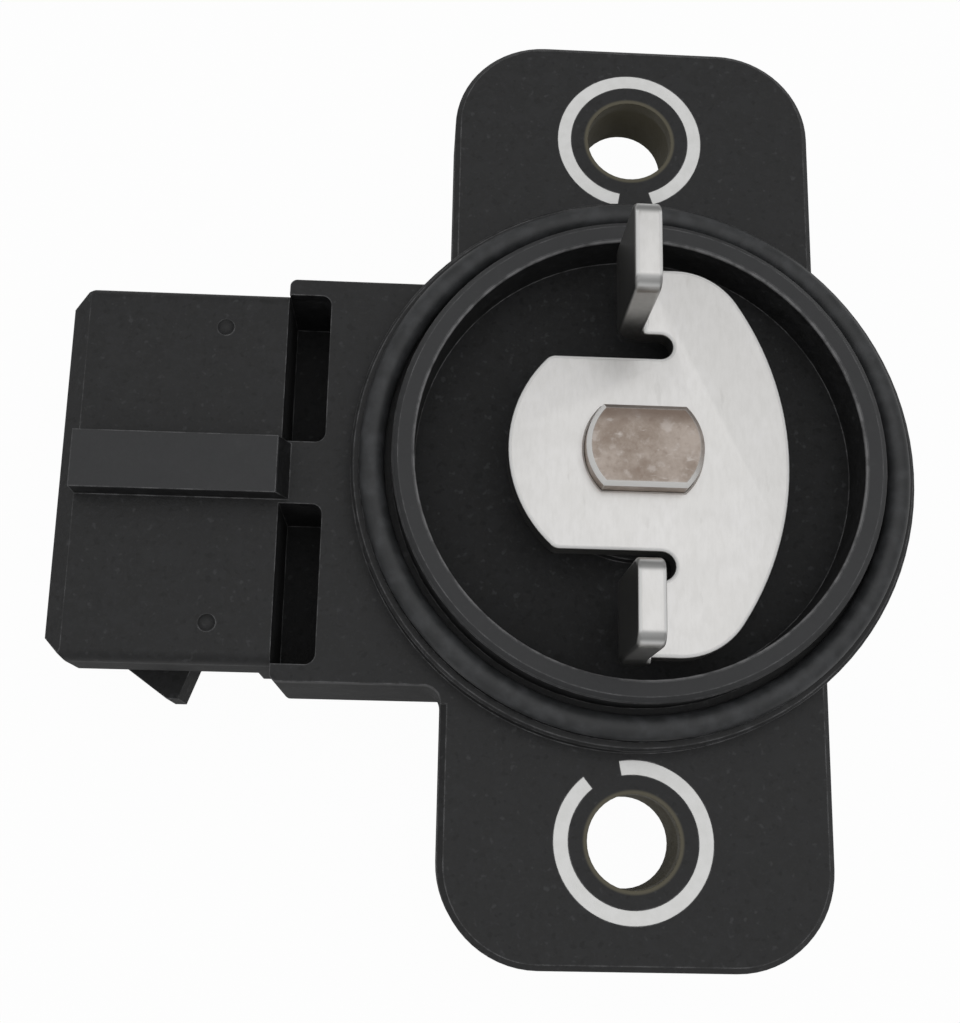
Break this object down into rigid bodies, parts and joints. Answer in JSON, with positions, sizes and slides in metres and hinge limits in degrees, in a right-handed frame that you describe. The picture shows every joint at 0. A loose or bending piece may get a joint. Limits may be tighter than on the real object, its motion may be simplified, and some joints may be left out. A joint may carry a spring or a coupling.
{
  "type": "throttle position sensor",
  "caption": "Throttle position sensor: black moulded body with two bolt ears, an O-ring spigot, a sprung steel lever with two bent drive tabs, and a three-pin plug socket on one side.",
  "frame": {"origin": "on the shaft axis, in the face of the two ears that bolts to the throttle body", "axes": "+Z out of the spigot along the shaft, +Y through the two mounting holes, the plug socket opens along -X"},
  "size_m": [0.0584, 0.0656, 0.0284],
  "materials": {
    "black_plastic": "matte, lightly textured, glass filled",
    "black_rubber": "smooth, slightly oily",
    "plated_steel": "zinc plated, satin",
    "turned_steel": "turned, fine rings",
    "spring_steel": "drawn wire, satin",
    "bearing_bronze": "sintered, oiled",
    "contact_brass": "polished",
    "tinned_brass": "tin plated, satin",
    "cream_plastic": "smooth",
    "ceramic_board": "unglazed ceramic",
    "carbon_ink": "printed, smooth",
    "silver_ink": "printed, dull",
    "red_rubber": "smooth silicone"
  },
  "bodies": {
    "base": {"housing": "black_plastic", "back_cover": "black_plastic", "cover_seal": "red_rubber", "o_ring": "black_rubber", "bushing_upper": "plated_steel", "bushing_lower": "plated_steel", "shaft_bearing": "bearing_bronze", "shaft_seal": "black_rubber", "thrust_washer": "plated_steel", "return_spring": "spring_steel", "element_board": "ceramic_board", "resistive_track": "carbon_ink", "collector_track": "silver_ink", "track_leads": "silver_ink", "terminal_left": "tinned_brass", "terminal_middle": "tinned_brass", "terminal_right": "tinned_brass"},
    "rotor": {"lever": "plated_steel", "shaft": "turned_steel", "shim_washer": "plated_steel", "wiper_carrier": "cream_plastic", "wiper": "contact_brass"}
  },
  "joints": [
    {"name": "lever_turn", "type": "hinge", "parent": "base", "child": "rotor", "pos_m": [0, 0, 0], "axis": [0, 0, 1], "range_deg": [0, 100], "stiffness_Nm_per_rad": 0.01, "springref_deg": -34.38, "deforming": ["return_spring"]}
  ]
}
